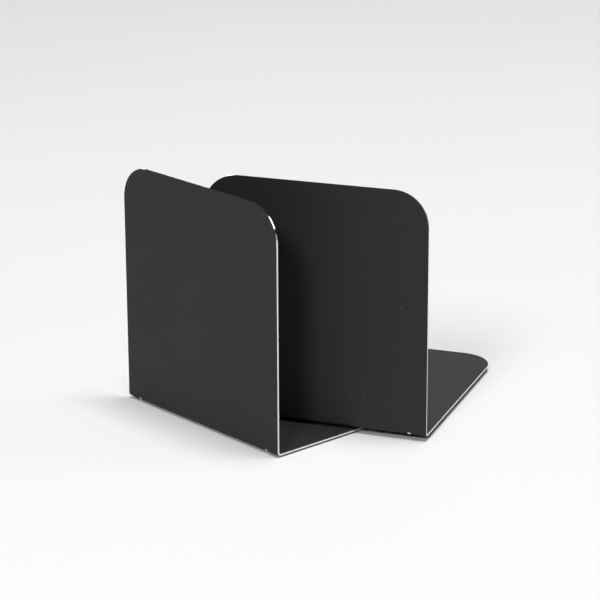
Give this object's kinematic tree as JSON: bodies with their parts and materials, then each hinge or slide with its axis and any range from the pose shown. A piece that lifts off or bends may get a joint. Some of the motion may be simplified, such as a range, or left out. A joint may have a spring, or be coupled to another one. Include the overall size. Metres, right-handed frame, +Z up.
{
  "type": "book ends",
  "caption": "Folded sheet-steel book ends with rounded corners, one standing on the base of the other and turned aside, on thin rubber grip strips.",
  "frame": {"origin": "on the surface that the pair stands on, under the middle of the pair's bounding box", "axes": "+Z up; +Y from the first upright along its base, the way its books lie; X along the first fold, +X towards the side where the second book end stands out"},
  "size_m": [0.1734, 0.1926, 0.1421],
  "materials": {
    "black_coated_steel": "satin black powder coat",
    "grip_rubber": "matt black rubber"
  },
  "bodies": {
    "left_book_end": {"left_plate": "black_coated_steel", "left_front_grip_strip": "grip_rubber", "left_rear_grip_strip": "grip_rubber"},
    "right_book_end": {"right_plate": "black_coated_steel", "right_front_grip_strip": "grip_rubber", "right_rear_grip_strip": "grip_rubber"}
  },
  "joints": [
    {"name": "gap_slide", "type": "slide", "parent": "left_book_end", "child": "right_book_end", "axis": [0, 1, 0], "range_m": [-0.0135, 0.025]}
  ]
}
